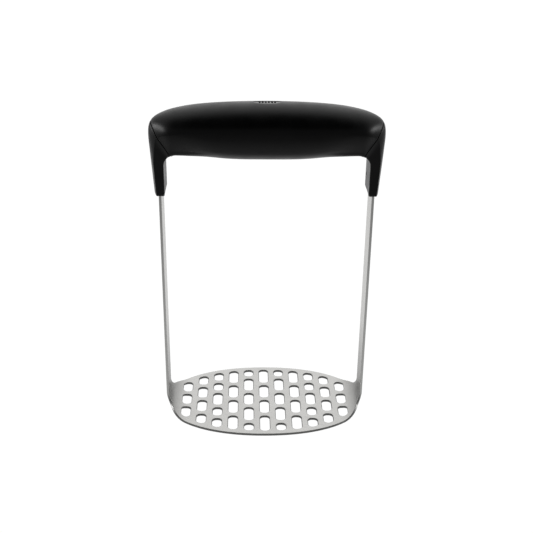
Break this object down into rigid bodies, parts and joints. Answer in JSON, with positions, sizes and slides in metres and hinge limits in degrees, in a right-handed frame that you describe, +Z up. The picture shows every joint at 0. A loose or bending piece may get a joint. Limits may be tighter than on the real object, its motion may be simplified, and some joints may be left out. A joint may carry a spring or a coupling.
{
  "type": "potato masher",
  "caption": "Hand masher: an oval perforated steel plate whose ends bend up as flat straps to a broad soft horizontal grip with hard end legs.",
  "frame": {"origin": "centre of the mashing plate's flat underside, which is the lowest face", "axes": "+Z up from the plate to the grip, +X along the grip and the plate's long axis, +Y along the plate's short axis"},
  "size_m": [0.1128, 0.0646, 0.1654],
  "materials": {
    "steel": "satin, fine grain",
    "leg_plastic": "low sheen black",
    "lid_plastic": "matte, hidden inside the grip",
    "soft_skin": "soft-touch black, satin",
    "pin_steel": "plain"
  },
  "bodies": {
    "root": {"masher_frame": "steel", "handle_core": "leg_plastic", "core_lid": "lid_plastic", "soft_grip": "soft_skin", "left_tang_pin": "pin_steel", "right_tang_pin": "pin_steel"}
  },
  "joints": []
}
